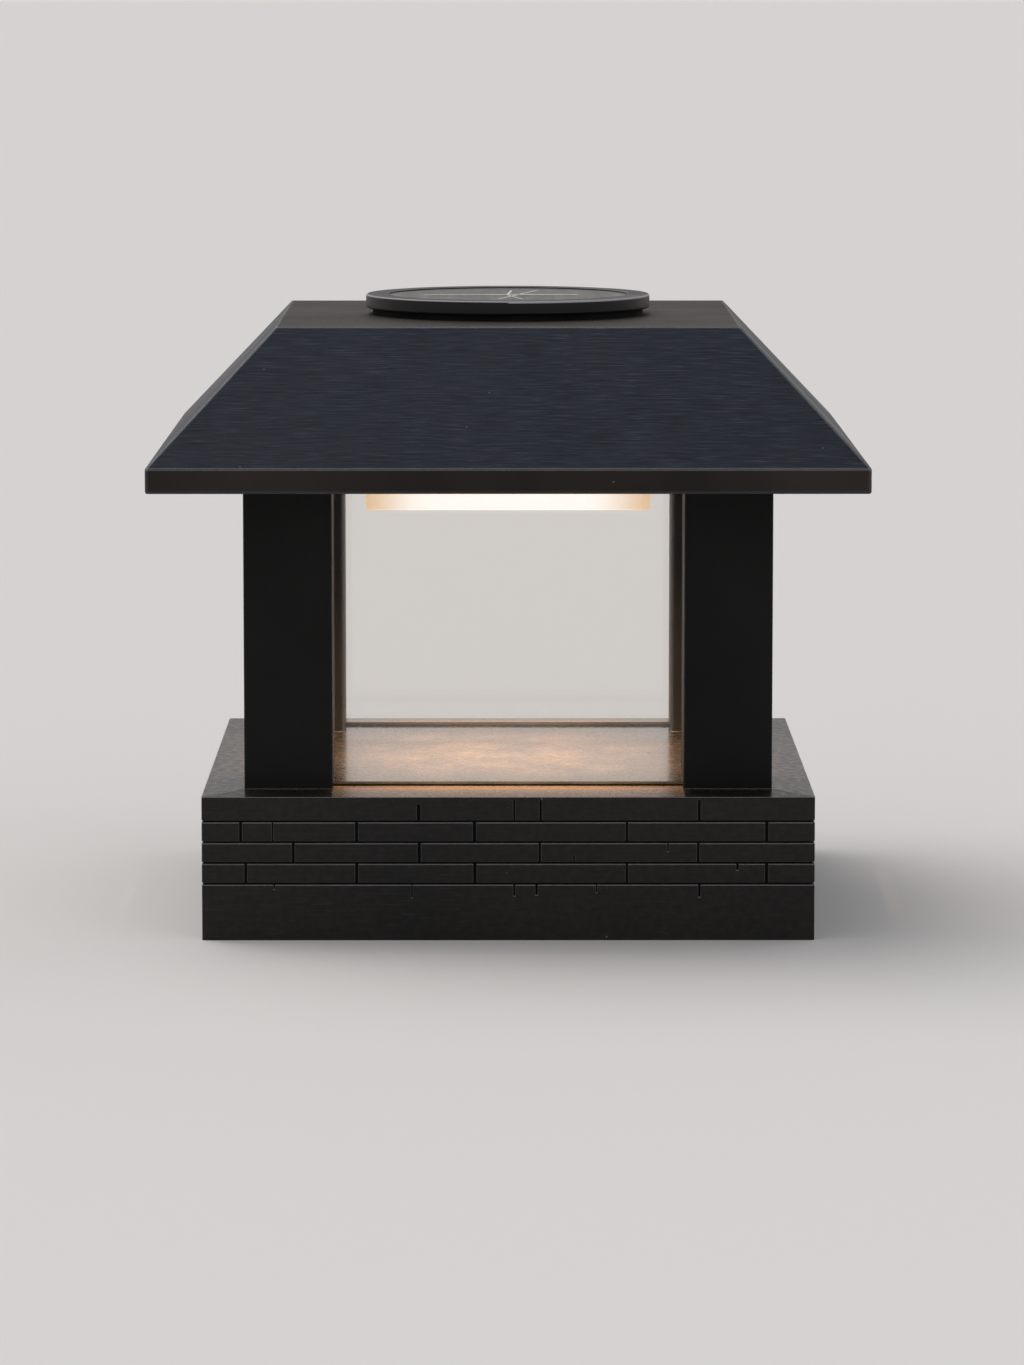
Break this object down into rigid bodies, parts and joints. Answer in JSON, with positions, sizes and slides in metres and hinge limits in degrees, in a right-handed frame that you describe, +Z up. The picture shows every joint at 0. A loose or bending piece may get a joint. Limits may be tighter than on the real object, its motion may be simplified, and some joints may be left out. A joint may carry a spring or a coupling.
{
  "type": "deck post cap light",
  "caption": "Square post cap light: a skirt over the post, a glazed lantern on corner posts and a hipped roof with a lift-out solar module.",
  "frame": {"origin": "centre of the skirt's lower rim, on the post's centre line", "axes": "+Z up along the post, -Y towards the front, +X to the right seen from the front"},
  "size_m": [0.1566, 0.1566, 0.1381],
  "materials": {
    "black_shell": "satin",
    "stone_black": "satin",
    "white_plastic": "gloss",
    "frosted_plastic": "matte",
    "clear_glass": "gloss",
    "cell_glass": "gloss",
    "cell_silicon": "gloss",
    "black_rubber": "matte",
    "zinc_steel": "satin",
    "black_steel": "satin",
    "board_green": "satin",
    "module_black": "satin",
    "chip_black": "matte",
    "battery_can": "satin",
    "contact_nickel": "satin",
    "lamp_epoxy": "gloss",
    "lead_red": "satin"
  },
  "bodies": {
    "lantern": {"roof_shell": "black_shell", "ceiling_plate": "black_shell", "corner_post_front_left": "black_shell", "corner_post_front_right": "black_shell", "corner_post_rear_left": "black_shell", "corner_post_rear_right": "black_shell", "lantern_floor": "black_shell", "base_skirt": "stone_black", "light_well": "white_plastic", "diffuser": "frosted_plastic", "window_pane_front": "clear_glass", "window_pane_right": "clear_glass", "window_pane_rear": "clear_glass", "window_pane_left": "clear_glass", "pane_seals_lower": "black_rubber", "pane_seals_upper": "black_rubber", "post_screws_lower": "zinc_steel", "post_screws_upper": "zinc_steel", "well_screws": "zinc_steel", "ceiling_screws": "black_steel"},
    "solar_module": {"module_bezel": "module_black", "module_seal": "black_rubber", "cell_window": "cell_glass", "solar_cell": "cell_silicon", "cell_board": "board_green", "module_body": "module_black", "plug_ring": "black_rubber", "module_base": "module_black", "module_screws": "zinc_steel", "battery": "battery_can", "battery_contact_positive": "contact_nickel", "battery_contact_negative": "contact_nickel", "battery_leads": "lead_red", "door_hinge_pin": "zinc_steel", "control_board": "board_green", "lamps": "lamp_epoxy", "driver_chip": "chip_black", "boost_coil": "chip_black", "capacitor": "chip_black", "cell_leads": "lead_red", "switch_body": "chip_black"},
    "battery_door": {"battery_door": "module_black"},
    "switch_slider": {"switch_slider": "module_black"}
  },
  "joints": [
    {"name": "solar_module_lift", "type": "slide", "parent": "lantern", "child": "solar_module", "axis": [0, 0, 1], "range_m": [0, 0.045]},
    {"name": "battery_door_swing", "type": "hinge", "parent": "solar_module", "child": "battery_door", "pos_m": [0, 0.0081, 0.1122], "axis": [1, 0, 0], "range_deg": [0, 100]},
    {"name": "power_switch_slide", "type": "slide", "parent": "solar_module", "child": "switch_slider", "axis": [1, 0, 0], "range_m": [0, 0.003]}
  ]
}
